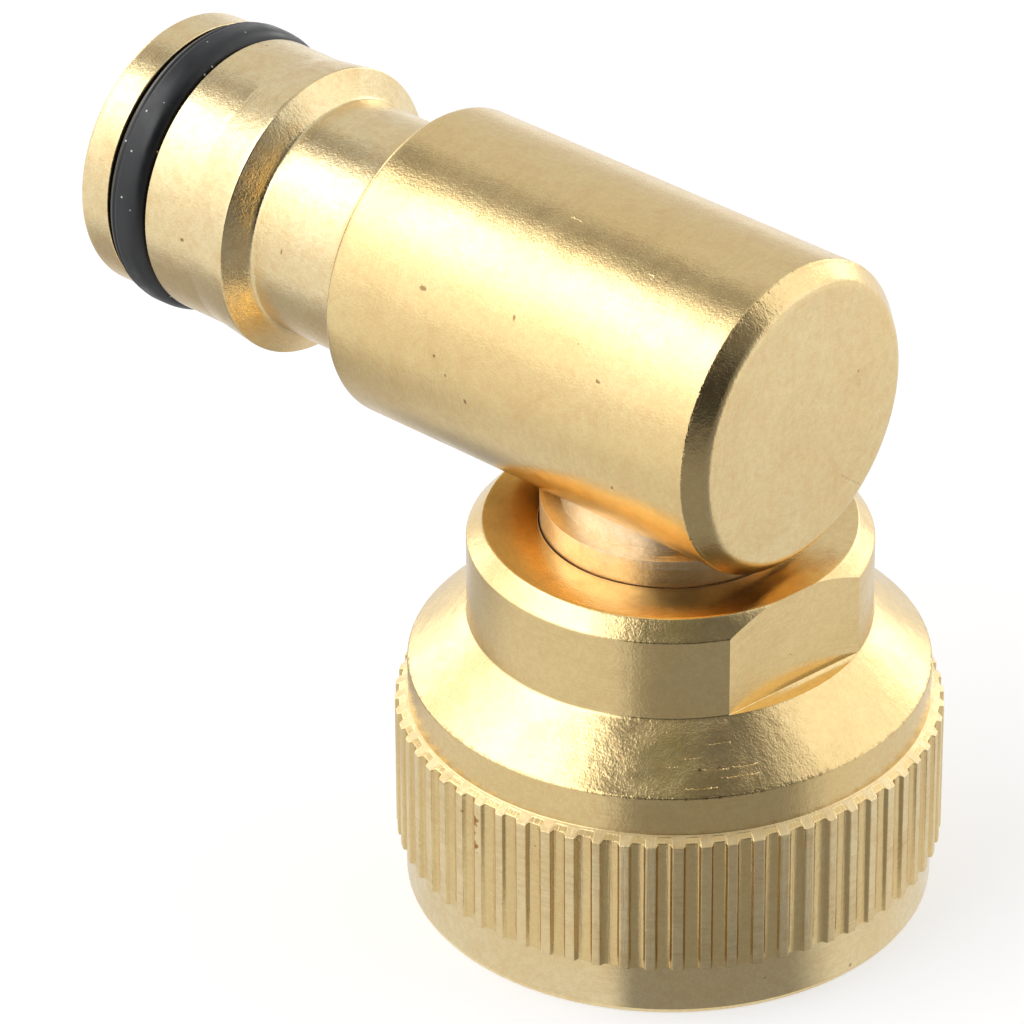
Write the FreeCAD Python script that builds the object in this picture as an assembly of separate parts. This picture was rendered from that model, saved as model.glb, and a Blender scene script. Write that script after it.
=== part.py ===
"""Swivel elbow hose connector in turned brass, in millimetres.

A knurled coupling nut screws onto a threaded tap or hose reel. A hollow stem turns inside the nut's neck on
two O-rings and is screwed into the underside of a horizontal elbow body, whose far end is a quick-connect
nipple with an O-ring. The nut's axis is +Z, its lower rim stands at Z = 0, and the nipple points along -X.
"""
import FreeCAD, Part

import math
import os

from FreeCAD import Vector

# Coupling nut, outside, from the rim upwards
rim_radius = 14.45
rim_height = 3.2
rim_edge = 0.3
knurl_radius = 15.0
knurl_height = 7.95
knurl_count = 64
knurl_depth = 0.26
knurl_land_width = 0.55
knurl_floor_width = 0.68
knurl_turn = 0.2
knurl_bevel_height = 0.4
shoulder_radius = 14.28
shoulder_height = 2.25
cone_height = 2.95
neck_radius = 11.03
neck_height = 5.75
neck_bevel_width = 0.92
neck_bevel_height = 1.0
flats_across = 20.0
flats_turn = -8.0

# Coupling nut, inside: G 3/4 socket cut to its major diameter, washer seat and swivel chamber
thread_radius = 13.22
thread_depth = 8.9
relief_depth = 0.3
seat_height = 11.6
chamber_height = 3.8
chamber_clearance = 0.3
bore_edge = 0.12

# Flat sealing washer in the socket
washer_radius = 12.7
washer_hole_radius = 8.2
washer_thickness = 2.4
washer_edge = 0.25

# Swivel stem
stem_radius = 7.05
stem_bore_radius = 4.0
stem_top_edge = 0.18
flange_radius = 8.3
flange_thickness = 2.35
hex_across = 9.0
hex_depth = 3.4
spigot_radius = 5.95
spigot_length = 3.2
spigot_edge = 0.4
swivel_clearance = 0.08

# Stem O-rings, as squeezed square between groove and bore
seal_depth = 1.15
seal_width = 1.5
seal_corner = 0.3
seal_groove_width = 2.0
seal_inset = 1.0
seal_spacing = 3.0
seal_clearance = 0.03

# Slip washer between the flange and the chamber roof
slip_thickness = 0.8
slip_clearance = 0.05
slip_radius = 8.35

# Elbow body, from the closed end along the barrel to the nose of the nipple
barrel_radius = 8.85
barrel_gap = 0.65
barrel_back = 9.2
barrel_end_bevel_length = 1.1
barrel_end_bevel_width = 1.0
barrel_front = 17.0
barrel_front_bevel = 0.35
waist_radius = 6.8
waist_length = 7.2
collar_radius = 8.28
collar_rear_length = 0.95
collar_land = 0.2
collar_front_length = 2.55
nose_radius = 7.93
nose_band_length = 3.3
nose_lip_length = 2.0
nose_edge = 0.3

# Elbow body, inside
flow_radius = 4.75
flow_mouth_bevel = 0.5
flow_blind = 4.4
drill_point_height = 1.4
spot_face_depth = 0.95
spot_face_clearance = 0.2
port_clearance = 0.03
port_runout = 0.3

# O-ring on the nipple
ring_section_radius = 1.325
ring_centre_radius = 6.95
ring_groove_width = 2.95
ring_seat_clearance = 0.02

# Levels and fits worked out from the sizes above
knurl_top = rim_height + knurl_height
shoulder_base = knurl_top + knurl_bevel_height
cone_base = shoulder_base + shoulder_height
neck_base = cone_base + cone_height
nut_top = neck_base + neck_height
chamber_top = seat_height + chamber_height
chamber_radius = max(flange_radius, slip_radius) + chamber_clearance
bore_radius = stem_radius + swivel_clearance
relief_radius = thread_radius + relief_depth
slip_top = chamber_top - slip_clearance
slip_base = slip_top - slip_thickness
flange_top = slip_base - slip_clearance
flange_base = flange_top - flange_thickness
axis_height = nut_top + barrel_gap + barrel_radius
stem_shoulder = nut_top + barrel_gap + spot_face_depth
spigot_top = stem_shoulder + spigot_length
seal_floor_radius = stem_radius - seal_depth
upper_seal_height = nut_top - seal_inset - seal_groove_width / 2
lower_seal_height = upper_seal_height - seal_spacing
ring_floor_radius = ring_centre_radius - ring_section_radius - ring_seat_clearance
collar_root = barrel_front + waist_length
collar_rear = collar_root + collar_rear_length
collar_land_end = collar_rear + collar_land
collar_front = collar_land_end + collar_front_length
groove_start = collar_front + nose_band_length
groove_end = groove_start + ring_groove_width
nose_end = groove_end + nose_lip_length
ring_centre = (groove_start + groove_end) / 2


def turned(points):
    """Solid of revolution about Z from a closed outline of (radius, height) points."""
    corners = [Vector(r, 0, z) for r, z in points]
    outline = Part.makePolygon(corners + [corners[0]])
    return Part.Face(outline).revolve(Vector(0, 0, 0), Vector(0, 0, 1), 360)


def turned_path(edges):
    """Solid of revolution about Z from a closed run of edges in the XZ plane."""
    return Part.Face(Part.Wire(edges)).revolve(Vector(0, 0, 0), Vector(0, 0, 1), 360)


def line(start, end):
    """Straight edge between two (radius, height) points."""
    return Part.makeLine(Vector(start[0], 0, start[1]), Vector(end[0], 0, end[1]))


def corner_arc(start, end, centre, radius):
    """Arc from start to end about centre, by way of the point of the circle midway between them."""
    middle = Vector((start[0] + end[0]) / 2, 0, (start[1] + end[1]) / 2)
    hub = Vector(centre[0], 0, centre[1])
    way = (middle - hub).normalize() * radius
    return Part.Arc(Vector(start[0], 0, start[1]), hub + way, Vector(end[0], 0, end[1])).toShape()


def cylinder(radius, base, top):
    """Upright cylinder on the Z axis between two heights."""
    return Part.makeCylinder(radius, top - base, Vector(0, 0, base))


def along_barrel(solid):
    """Lays a solid turned about Z along the barrel's axis, with its +Z towards the nipple."""
    solid.rotate(Vector(0, 0, 0), Vector(0, 1, 0), -90)
    solid.translate(Vector(0, 0, axis_height))
    return solid


def export(name, solid):
    """Writes one piece to parts/NAME.step."""
    solid.exportStep(os.path.join("parts", name + ".step"))


def knurl_grooves():
    """Straight trapezoid grooves round the knurled band, open through the bevel above it."""
    pitch = 2 * math.pi * knurl_radius / knurl_count
    root_radius = knurl_radius - knurl_depth
    half_floor = knurl_floor_width / 2
    half_mouth = (pitch - knurl_land_width) / 2
    overshoot = knurl_depth
    half_outer = half_mouth + (half_mouth - half_floor) * overshoot / knurl_depth
    section = [
        Vector(root_radius, -half_floor, rim_height),
        Vector(knurl_radius + overshoot, -half_outer, rim_height),
        Vector(knurl_radius + overshoot, half_outer, rim_height),
        Vector(root_radius, half_floor, rim_height),
    ]
    face = Part.Face(Part.makePolygon(section + [section[0]]))
    groove = face.extrude(Vector(0, 0, knurl_height + knurl_bevel_height))
    grooves = []
    for index in range(knurl_count):
        copy = groove.copy()
        copy.rotate(Vector(0, 0, 0), Vector(0, 0, 1), knurl_turn + index * 360 / knurl_count)
        grooves.append(copy)
    return Part.makeCompound(grooves)


def wrench_flats():
    """Two opposite blocks that mill the flats on the neck, down to the top of the cone."""
    blocks = []
    size = 2 * neck_radius
    for turn in (0, 180):
        block = Part.makeBox(size, size, neck_height, Vector(flats_across / 2, -size / 2, neck_base))
        block.rotate(Vector(0, 0, 0), Vector(0, 0, 1), flats_turn + turn)
        blocks.append(block)
    return Part.makeCompound(blocks)


def coupling_nut():
    """Turned nut: plain rim, knurled band, shoulder, cone and neck, bored for the tap thread and the stem."""
    blank = turned([
        (thread_radius, 0),
        (rim_radius - rim_edge, 0),
        (rim_radius, rim_edge),
        (rim_radius, rim_height),
        (knurl_radius, rim_height),
        (knurl_radius, knurl_top),
        (shoulder_radius, shoulder_base),
        (shoulder_radius, cone_base),
        (neck_radius, neck_base),
        (neck_radius, nut_top - neck_bevel_height),
        (neck_radius - neck_bevel_width, nut_top),
        (bore_radius + bore_edge, nut_top),
        (bore_radius, nut_top - bore_edge),
        (bore_radius, chamber_top),
        (chamber_radius, chamber_top),
        (chamber_radius, seat_height),
        (relief_radius, seat_height),
        (relief_radius, thread_depth),
        (thread_radius, thread_depth),
    ])
    return blank.cut(wrench_flats()).cut(knurl_grooves())


def sealing_washer():
    """Flat rubber washer with broken edges, pressed up against the seat in the socket."""
    base = seat_height - washer_thickness
    return turned([
        (washer_hole_radius, base),
        (washer_radius - washer_edge, base),
        (washer_radius, base + washer_edge),
        (washer_radius, seat_height - washer_edge),
        (washer_radius - washer_edge, seat_height),
        (washer_hole_radius, seat_height),
    ])


def seal_groove_outline(height):
    """The three corners of a stem groove after the one above it, going down."""
    return [
        (stem_radius, height + seal_groove_width / 2),
        (seal_floor_radius, height + seal_groove_width / 2),
        (seal_floor_radius, height - seal_groove_width / 2),
        (stem_radius, height - seal_groove_width / 2),
    ]


def swivel_stem():
    """Hollow stem: hex-socketed flange, journal with two O-ring grooves, shoulder and spigot."""
    stem = turned([
        (stem_bore_radius, flange_base),
        (stem_bore_radius, spigot_top),
        (spigot_radius - spigot_edge, spigot_top),
        (spigot_radius, spigot_top - spigot_edge),
        (spigot_radius, stem_shoulder),
        (stem_radius - stem_top_edge, stem_shoulder),
        (stem_radius, stem_shoulder - stem_top_edge),
        *seal_groove_outline(upper_seal_height),
        *seal_groove_outline(lower_seal_height),
        (stem_radius, flange_top),
        (flange_radius, flange_top),
        (flange_radius, flange_base),
    ])
    corner_radius = hex_across / math.sqrt(3)
    corners = [Vector(corner_radius, 0, flange_base)]
    for index in range(1, 7):
        angle = index * math.pi / 3
        corners.append(Vector(corner_radius * math.cos(angle), corner_radius * math.sin(angle), flange_base))
    socket = Part.Face(Part.makePolygon(corners)).extrude(Vector(0, 0, hex_depth))
    return stem.cut(socket)


def stem_o_ring(height):
    """O-ring squeezed between the groove floor and the nut's bore, with its corners left free."""
    inner = seal_floor_radius + seal_clearance
    outer = bore_radius - seal_clearance
    base = height - seal_width / 2
    top = height + seal_width / 2
    return turned([
        (inner + seal_corner, base),
        (outer - seal_corner, base),
        (outer, base + seal_corner),
        (outer, top - seal_corner),
        (outer - seal_corner, top),
        (inner + seal_corner, top),
        (inner, top - seal_corner),
        (inner, base + seal_corner),
    ])


def slip_washer():
    """Thin plain washer that takes the thrust between the flange and the chamber roof."""
    ring = cylinder(slip_radius, slip_base, slip_top)
    return ring.cut(cylinder(bore_radius, slip_base, slip_top))


def elbow_body():
    """Barrel with a closed bevelled end and a nipple, bored from the nose and ported from below."""
    end_corner = barrel_radius - barrel_end_bevel_width
    bevel_top = -barrel_back + barrel_end_bevel_length
    front_corner = barrel_radius - barrel_front_bevel
    fillet = front_corner - waist_radius
    outline = [
        line((0, -barrel_back), (end_corner, -barrel_back)),
        line((end_corner, -barrel_back), (barrel_radius, bevel_top)),
        line((barrel_radius, bevel_top), (barrel_radius, barrel_front - barrel_front_bevel)),
        line((barrel_radius, barrel_front - barrel_front_bevel), (front_corner, barrel_front)),
        corner_arc(
            (front_corner, barrel_front),
            (waist_radius, barrel_front + fillet),
            (front_corner, barrel_front + fillet),
            fillet,
        ),
        line((waist_radius, barrel_front + fillet), (waist_radius, collar_root)),
        line((waist_radius, collar_root), (collar_radius, collar_rear)),
        line((collar_radius, collar_rear), (collar_radius, collar_land_end)),
        line((collar_radius, collar_land_end), (nose_radius, collar_front)),
        line((nose_radius, collar_front), (nose_radius, groove_start)),
        line((nose_radius, groove_start), (ring_floor_radius, groove_start)),
        line((ring_floor_radius, groove_start), (ring_floor_radius, groove_end)),
        line((ring_floor_radius, groove_end), (nose_radius, groove_end)),
        line((nose_radius, groove_end), (nose_radius, nose_end - nose_edge)),
        line((nose_radius, nose_end - nose_edge), (nose_radius - nose_edge, nose_end)),
        line((nose_radius - nose_edge, nose_end), (flow_radius + flow_mouth_bevel, nose_end)),
        line((flow_radius + flow_mouth_bevel, nose_end), (flow_radius, nose_end - flow_mouth_bevel)),
        line((flow_radius, nose_end - flow_mouth_bevel), (flow_radius, -flow_blind)),
        line((flow_radius, -flow_blind), (0, -flow_blind - drill_point_height)),
        line((0, -flow_blind - drill_point_height), (0, -barrel_back)),
    ]
    body = along_barrel(turned_path(outline))
    underside = axis_height - barrel_radius
    spot_face = cylinder(stem_radius + spot_face_clearance, underside - spot_face_depth, stem_shoulder)
    port = cylinder(spigot_radius + port_clearance, underside, spigot_top + port_runout)
    passage = cylinder(stem_bore_radius, underside, axis_height)
    return body.cut(spot_face.fuse(port).fuse(passage))


def nipple_o_ring():
    """O-ring seated on the floor of the nipple's groove."""
    ring = Part.makeTorus(ring_centre_radius, ring_section_radius, Vector(0, 0, ring_centre))
    return along_barrel(ring)


os.makedirs("parts", exist_ok=True)
export("coupling_nut", coupling_nut())
export("sealing_washer", sealing_washer())
export("swivel_stem", swivel_stem())
export("slip_washer", slip_washer())
export("stem_o_ring_lower", stem_o_ring(lower_seal_height))
export("stem_o_ring_upper", stem_o_ring(upper_seal_height))
export("elbow_body", elbow_body())
export("nipple_o_ring", nipple_o_ring())
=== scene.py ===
"""Looks of the swivel elbow hose connector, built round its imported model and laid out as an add-on.

Lengths are in metres. The coupling nut's axis is +Z, its rim stands on Z = 0, and the nipple points along -X.
"""
import math

import bpy
import numpy as np
from bpy.props import FloatProperty, FloatVectorProperty, IntProperty, PointerProperty
from mathutils import Matrix, Vector


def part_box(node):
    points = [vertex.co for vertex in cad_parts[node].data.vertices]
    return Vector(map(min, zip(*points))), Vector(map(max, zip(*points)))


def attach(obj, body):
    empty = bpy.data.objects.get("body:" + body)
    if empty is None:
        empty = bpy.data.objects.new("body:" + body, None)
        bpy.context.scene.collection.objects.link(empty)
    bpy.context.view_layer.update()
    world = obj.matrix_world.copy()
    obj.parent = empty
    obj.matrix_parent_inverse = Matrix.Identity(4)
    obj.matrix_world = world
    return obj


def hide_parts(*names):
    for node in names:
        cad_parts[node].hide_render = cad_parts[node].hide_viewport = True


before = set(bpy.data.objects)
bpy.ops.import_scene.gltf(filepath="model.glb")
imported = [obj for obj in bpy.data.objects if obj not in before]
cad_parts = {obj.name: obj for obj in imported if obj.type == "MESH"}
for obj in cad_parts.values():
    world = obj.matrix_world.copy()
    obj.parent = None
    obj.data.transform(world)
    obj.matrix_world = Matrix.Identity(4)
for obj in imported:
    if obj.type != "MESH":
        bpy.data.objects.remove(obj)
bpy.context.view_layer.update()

bl_info = {
    "name": "Swivel Elbow Hose Connector",
    "version": (1, 0, 0),
    "blender": (4, 5, 0),
    "location": "3D View > Sidebar > Hose Connector",
    "description": "Builds a turned brass swivel elbow hose connector piece by piece",
    "category": "Add Mesh",
}

MM = 0.001
SEED = 11
# Rounded corners: the points beside an arc stand this share of its rounding away from it, but no more
# than this share of the free run; then the length and the least number of the arc's steps
SUPPORT, SUPPORT_LIMIT = 0.8, 0.4
ARC_CHORD, LEAST_ARC_STEPS = 0.09 * MM, 3
# Small edges of the knurl's grooves, and the width of the O-ring's furrow in radians
RIDGE_EDGE = 0.035 * MM
FURROW_WIDTH = 0.07
# Columns round each turned piece, with the rows where the grid is even
ELBOW_STEPS, PORT_STEPS, STEM_STEPS, SEAL_STEPS, WASHER_STEPS = 288, 144, 240, 128, 160
RING_GRID, THREAD_GRID = (256, 192), (192, 84)

NUT_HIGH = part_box("coupling_nut")[1]
ELBOW_LOW, ELBOW_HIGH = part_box("elbow_body")
STEM_LOW, STEM_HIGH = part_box("swivel_stem")
AXIS_HEIGHT = (ELBOW_LOW.z + ELBOW_HIGH.z) / 2


def length(name, description, value):
    """A length property whose default is given in metres."""
    return FloatProperty(name=name, description=description, default=value, unit="LENGTH", precision=5)


def share(name, description, value):
    """A property between 0 and 1."""
    return FloatProperty(name=name, description=description, default=value, min=0, max=1, subtype="FACTOR")


def amount(name, description, value):
    """A plain number property."""
    return FloatProperty(name=name, description=description, default=value, precision=3)


def angle(name, description, degrees):
    """An angle property whose default is given in degrees."""
    return FloatProperty(name=name, description=description, default=math.radians(degrees), subtype="ANGLE")


def colour(name, description, value):
    """A linear colour property."""
    return FloatVectorProperty(name=name, description=description, default=value, size=3, min=0, max=1,
                               subtype="COLOR")


class ConnectorNutSizes(bpy.types.PropertyGroup):
    """Sizes of the coupling nut"""
    knurl_radius: length("Knurl radius", "Radius over the knurl's ridges", NUT_HIGH.x)
    top: length("Top", "Height of the nut's top face", NUT_HIGH.z)
    rim_radius: length("Rim radius", "Radius of the plain rim", 14.45 * MM)
    rim_height: length("Rim height", "Height of the plain rim", 3.2 * MM)
    knurl_height: length("Knurl height", "Height of the knurled band", 7.95 * MM)
    bevel_height: length("Bevel height", "Height of the bevel above the knurl", 0.4 * MM)
    ridge_count: IntProperty(name="Ridges", description="Number of ridges in the knurl", default=64)
    groove_depth: length("Groove depth", "Depth of the knurl's grooves", 0.26 * MM)
    land_width: length("Land width", "Width of a ridge's flat top", 0.55 * MM)
    floor_width: length("Floor width", "Width of a groove's floor", 0.68 * MM)
    knurl_turn: angle("Knurl turn", "Angle of a groove's middle from +X", 0.2)
    shoulder_radius: length("Shoulder radius", "Radius between the knurl and the cone", 14.28 * MM)
    shoulder_height: length("Shoulder height", "Height of that shoulder", 2.25 * MM)
    cone_height: length("Cone height", "Height of the cone", 2.95 * MM)
    neck_radius: length("Neck radius", "Radius of the neck", 11.03 * MM)
    neck_bevel_width: length("Neck bevel width", "How far the neck's bevel reaches in", 0.92 * MM)
    neck_bevel_height: length("Neck bevel height", "Height of the neck's bevel", 1.0 * MM)
    flats_across: length("Flats across", "Distance across the two wrench flats", 20.0 * MM)
    flats_turn: angle("Flats turn", "Direction that a flat faces, from +X", -8)
    bore_radius: length("Bore radius", "Radius of the bore round the stem", 7.13 * MM)
    chamber_radius: length("Chamber radius", "Radius of the swivel chamber", 8.65 * MM)
    chamber_top: length("Chamber top", "Height of the chamber's roof", 15.4 * MM)
    seat_height: length("Seat height", "Height of the washer's seat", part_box("sealing_washer")[1].z)
    relief_radius: length("Relief radius", "Radius of the relief above the thread", 13.52 * MM)
    thread_radius: length("Thread radius", "Outer radius of the inside thread", 13.22 * MM)
    thread_length: length("Thread length", "Length of the inside thread", 8.9 * MM)
    thread_pitch: length("Thread pitch", "Distance from one turn of the thread to the next", 1.814 * MM)
    thread_depth: length("Thread depth", "Depth of the thread", 1.16 * MM)


class ConnectorElbowSizes(bpy.types.PropertyGroup):
    """Sizes of the elbow body, measured along the barrel from the nut's axis towards the nose"""
    barrel_radius: length("Barrel radius", "Radius of the barrel", ELBOW_HIGH.z - AXIS_HEIGHT)
    axis_height: length("Axis height", "Height of the barrel's axis", AXIS_HEIGHT)
    back: length("Back", "Distance from the nut's axis to the closed end", ELBOW_HIGH.x)
    nose: length("Nose", "Distance from the nut's axis to the nose's end", -ELBOW_LOW.x)
    end_bevel_length: length("End bevel length", "Length of the end's bevel along the barrel", 1.1 * MM)
    end_bevel_width: length("End bevel width", "How far the closed end's bevel reaches in", 1.0 * MM)
    front: length("Front", "Distance to the barrel's front shoulder", 17.0 * MM)
    front_round: length("Front round", "Rounding of the front shoulder's edge", 0.4 * MM)
    waist_radius: length("Waist radius", "Radius of the neck between barrel and collar", 6.8 * MM)
    collar_root: length("Collar root", "Where the collar's rear face starts", 24.2 * MM)
    collar_radius: length("Collar radius", "Radius of the collar's edge", 8.28 * MM)
    collar_rear: length("Collar rear", "Where the collar's edge starts", 25.15 * MM)
    collar_land: length("Collar land", "Width of the collar's edge", 0.2 * MM)
    collar_front: length("Collar front", "Where the collar's front taper ends", 27.9 * MM)
    nose_radius: length("Nose radius", "Radius of the nose", 7.93 * MM)
    groove_start: length("Groove start", "Where the O-ring's groove starts", 31.2 * MM)
    groove_end: length("Groove end", "Where the O-ring's groove ends", 34.04 * MM)
    groove_floor: length("Groove floor", "Radius of the groove's floor", 5.605 * MM)
    nose_edge: length("Nose edge", "Rounding of the nose's edge", 0.3 * MM)
    flow_radius: length("Flow radius", "Radius of the bore for the water", 4.75 * MM)
    flow_blind: length("Flow blind", "How far the bore goes past the nut's axis", 4.4 * MM)
    drill_point: length("Drill point", "Depth of the bore's pointed end", 1.4 * MM)
    spot_radius: length("Spot radius", "Radius of the face milled for the stem", 7.25 * MM)
    port_radius: length("Port radius", "Radius of the port for the stem's spigot", 5.98 * MM)
    passage_radius: length("Passage radius", "Radius of the passage into the bore", 4.0 * MM)


class ConnectorStemSizes(bpy.types.PropertyGroup):
    """Sizes of the swivel stem"""
    low: length("Low", "Height of the flange's lower face", STEM_LOW.z)
    high: length("High", "Height of the spigot's end", STEM_HIGH.z)
    radius: length("Radius", "Radius of the stem in the nut's bore", 7.05 * MM)
    shoulder: length("Shoulder", "Height of the shoulder under the barrel", 24.1 * MM)
    spigot_radius: length("Spigot radius", "Radius of the spigot in the barrel", 5.95 * MM)
    bore_radius: length("Bore radius", "Radius of the stem's bore", 4.0 * MM)
    flange_radius: length("Flange radius", "Radius of the flange", STEM_HIGH.x)
    flange_top: length("Flange top", "Height of the flange's upper face", 14.5 * MM)
    hex_across: length("Hexagon across", "Distance across the hexagon socket", 9.0 * MM)
    hex_depth: length("Hexagon depth", "Depth of the hexagon socket", 3.4 * MM)
    seal_floor: length("Seal floor", "Radius of the seal grooves' floor", 5.9 * MM)
    seal_width: length("Seal width", "Width of the seal grooves", 2.0 * MM)


class ConnectorFinish(bpy.types.PropertyGroup):
    """Colours and textures of the materials"""
    brass: colour("Brass", "Colour of the turned brass", (0.80, 0.615, 0.305))
    # On the nipple's upper side this colour is painted light; on the rim, the ridges and the end face it is
    # their own tone
    pale_brass: colour("Pale brass", "Colour of the rim, the ridges and the nipple", (0.84, 0.70, 0.42))
    stem_brass: colour("Stem brass", "Colour of the stem's brass", (0.92, 0.81, 0.66))
    # Painted warm shade on the nut's top face under the barrel and on the nipple's underside
    warm_brass: colour("Warm brass", "Colour of the top face and the nipple's underside", (0.84, 0.57, 0.25))
    tarnish: colour("Tarnish", "Colour of tarnished brass", (0.62, 0.38, 0.14))
    grime: colour("Grime", "Colour of pits, specks and stained edges", (0.20, 0.11, 0.045))
    rust: colour("Rust", "Colour of the brown spots on the knurl", (0.36, 0.13, 0.03))
    rubber: colour("Rubber", "Colour of the rubber rings", (0.008, 0.009, 0.011))
    plastic: colour("Plastic", "Colour of the slip washer", (0.78, 0.77, 0.72))
    roughness: share("Roughness", "Roughness of the turned brass", 0.2)
    rubber_roughness: share("Rubber roughness", "Roughness of the rubber", 0.33)


class ConnectorStudio(bpy.types.PropertyGroup):
    """The camera, the floor and the light"""
    azimuth: angle("Azimuth", "Camera's direction round the object", 41.70)
    elevation: angle("Elevation", "Camera's height above the horizon", 32.13)
    roll: angle("Roll", "Camera's roll", -0.35)
    distance: length("Distance", "Depth of the nut's mouth from the camera", 415.44 * MM)
    shift_right: length("Shift right", "How far right of the middle the nut's mouth lies", 8.647 * MM)
    shift_down: length("Shift down", "How far below the picture's middle the nut's mouth lies", 19.306 * MM)
    focal_length: amount("Focal length", "Camera's focal length in millimetres", 263.67)
    floor_colour: colour("Floor", "Colour of the floor", (0.86, 0.86, 0.86))
    floor_size: length("Floor size", "Half the floor's side", 2.5)
    card: amount("Card", "Brightness of the pale card round the object, which only the brass reflects", 0.86)
    card_dark: amount("Dark card", "Brightness of the card's dark wedge in front", 0.33)
    room: amount("Room", "Brightness of the room", 0.8)
    key: amount("Key", "Brightness of the panel on the left", 3.5)
    fill: amount("Fill", "Brightness of the panel on the right", 1.4)
    strip: amount("Strip", "Brightness of the low strips on both sides", 3.1)
    dark: amount("Dark", "Brightness of the dark side behind the camera", 0.175)
    spot: amount("Spot", "Brightness of the dark patch high at the back", 0.36)


# Surfaces

def rounded_outline(corners):
    """Points of a closed outline in the (radius, height) plane, with every corner rounded by an arc.

    A corner is (radius, height, rounding). The arc touches the two runs rounding * tan(turn / 2) away from
    the corner, and its centre lies one rounding to the inner side. One more point on each run, a share of
    the rounding further out but not past the run's free part, keeps smooth shading flat between the arcs.
    Returns the points, and for each point the number of the corner that it came from.
    """
    table = np.array(corners, float)
    count = len(table)
    place, rounding = table[:, :2], table[:, 2]
    runs = np.roll(place, -1, axis=0) - place
    spans = np.linalg.norm(runs, axis=1)
    ways = runs / spans[:, None]
    before = np.roll(ways, 1, axis=0)
    turns = np.arctan2(before[:, 0] * ways[:, 1] - before[:, 1] * ways[:, 0], (before * ways).sum(axis=1))
    trims = rounding * np.abs(np.tan(turns / 2))
    free = spans - trims - np.roll(trims, -1)
    reach_out = np.minimum(SUPPORT * rounding, SUPPORT_LIMIT * free)
    reach_in = np.minimum(SUPPORT * rounding, SUPPORT_LIMIT * np.roll(free, 1))
    points, owners = [], []
    for index in range(count):
        if rounding[index] == 0:
            points.append(place[index][None])
            owners.append([index])
            continue
        turn, run_in, run_out = turns[index], before[index], ways[index]
        start = place[index] - run_in * trims[index]
        centre = start + math.copysign(rounding[index], turn) * np.array([-run_in[1], run_in[0]])
        steps = max(LEAST_ARC_STEPS, math.ceil(abs(turn) * rounding[index] / ARC_CHORD))
        swept = turn * np.linspace(0, 1, steps + 1)
        spoke = start - centre
        arc = centre + np.stack([
            np.cos(swept) * spoke[0] - np.sin(swept) * spoke[1],
            np.sin(swept) * spoke[0] + np.cos(swept) * spoke[1],
        ], axis=1)
        points += [start[None] - run_in * reach_in[index], arc, arc[-1:] + run_out * reach_out[index]]
        owners.append([index] * (steps + 3))
    return np.vstack(points), np.concatenate(owners).astype(int)


def grid_faces(columns, rows, wrap_rows=True):
    """Quads of a grid whose columns close on themselves, and whose rows do too if wrap_rows says so."""
    column = np.arange(columns)[:, None]
    row = np.arange(rows if wrap_rows else rows - 1)[None, :]
    beside, above = (column + 1) % columns, (row + 1) % rows
    corners = [column * rows + row, beside * rows + row, beside * rows + above, column * rows + above]
    return np.stack(np.broadcast_arrays(*corners), axis=-1).reshape(-1, 4)


def make_piece(name, points, quads, triangles=np.zeros((0, 3), int)):
    """A mesh object at the origin from whole arrays of points, quads and triangles, shaded smooth."""
    mesh = bpy.data.meshes.new(name)
    mesh.vertices.add(len(points))
    mesh.vertices.foreach_set("co", np.asarray(points, np.float32).ravel())
    mesh.loops.add(quads.size + triangles.size)
    corners = np.concatenate([quads.ravel(), triangles.ravel()])
    mesh.loops.foreach_set("vertex_index", corners.astype(np.int32))
    sizes = np.concatenate([np.full(len(quads), 4), np.full(len(triangles), 3)]).astype(np.int32)
    mesh.polygons.add(len(sizes))
    mesh.polygons.foreach_set("loop_start", np.concatenate([[0], np.cumsum(sizes)[:-1]]).astype(np.int32))
    mesh.update(calc_edges=True)
    mesh.validate()
    mesh.shade_smooth()
    piece = bpy.data.objects.new(name, mesh)
    bpy.context.scene.collection.objects.link(piece)
    return piece


def even_angles(count):
    """Angles spread evenly round a full turn."""
    return np.arange(count) * math.tau / count


def around_axis(radius, angles, height):
    """Points at a radius, an angle about +Z and a height, as one list. The three spread to one shape."""
    x, y, z = np.broadcast_arrays(radius * np.cos(angles), radius * np.sin(angles), height)
    return np.stack([x, y, z], axis=-1).reshape(-1, 3)


def lay_along_barrel(points, height):
    """Lays points turned about +Z along the barrel's axis, with +Z towards the nose."""
    return np.stack([-points[:, 2], points[:, 1], points[:, 0] + height], axis=1)


def turned_piece(name, corners, angles, closed=True, ripple=None, slides=None, place=None):
    """A turned piece: a rounded outline carried round the Z axis.

    The point of column i and row j is (radius j * cos(angle i), radius j * sin(angle i), height j). A
    ripple moves it in by ripple i times the slide (radius, height) of the corner that row j belongs to. An
    outline that isn't closed starts and ends on the axis, and is closed there by fans. place maps the
    points to their place.
    """
    outline, owners = rounded_outline(corners)
    ends = outline[[0, -1]]
    if not closed:
        outline, owners = outline[1:-1], owners[1:-1]
    columns, rows = len(angles), len(outline)
    radius, height = outline[None, :, 0], outline[None, :, 1]
    if ripple is not None:
        table = np.zeros((len(corners), 2))
        for index, slide in slides.items():
            table[index] = slide
        radius = radius + ripple[:, None] * table[owners, 0]
        height = height + ripple[:, None] * table[owners, 1]
    points = around_axis(radius, angles[:, None], height)
    quads, triangles = grid_faces(columns, rows, closed), np.zeros((0, 3), int)
    if not closed:
        column = np.arange(columns)
        beside = (column + 1) % columns
        first_pole = np.full(columns, len(points))
        triangles = np.vstack([
            np.stack([first_pole, beside * rows, column * rows], axis=1),
            np.stack([first_pole + 1, (column + 1) * rows - 1, (beside + 1) * rows - 1], axis=1),
        ])
        points = np.vstack([points, [[0, 0, ends[0, 1]], [0, 0, ends[1, 1]]]])
    return make_piece(name, points if place is None else place(points), quads, triangles)


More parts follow.
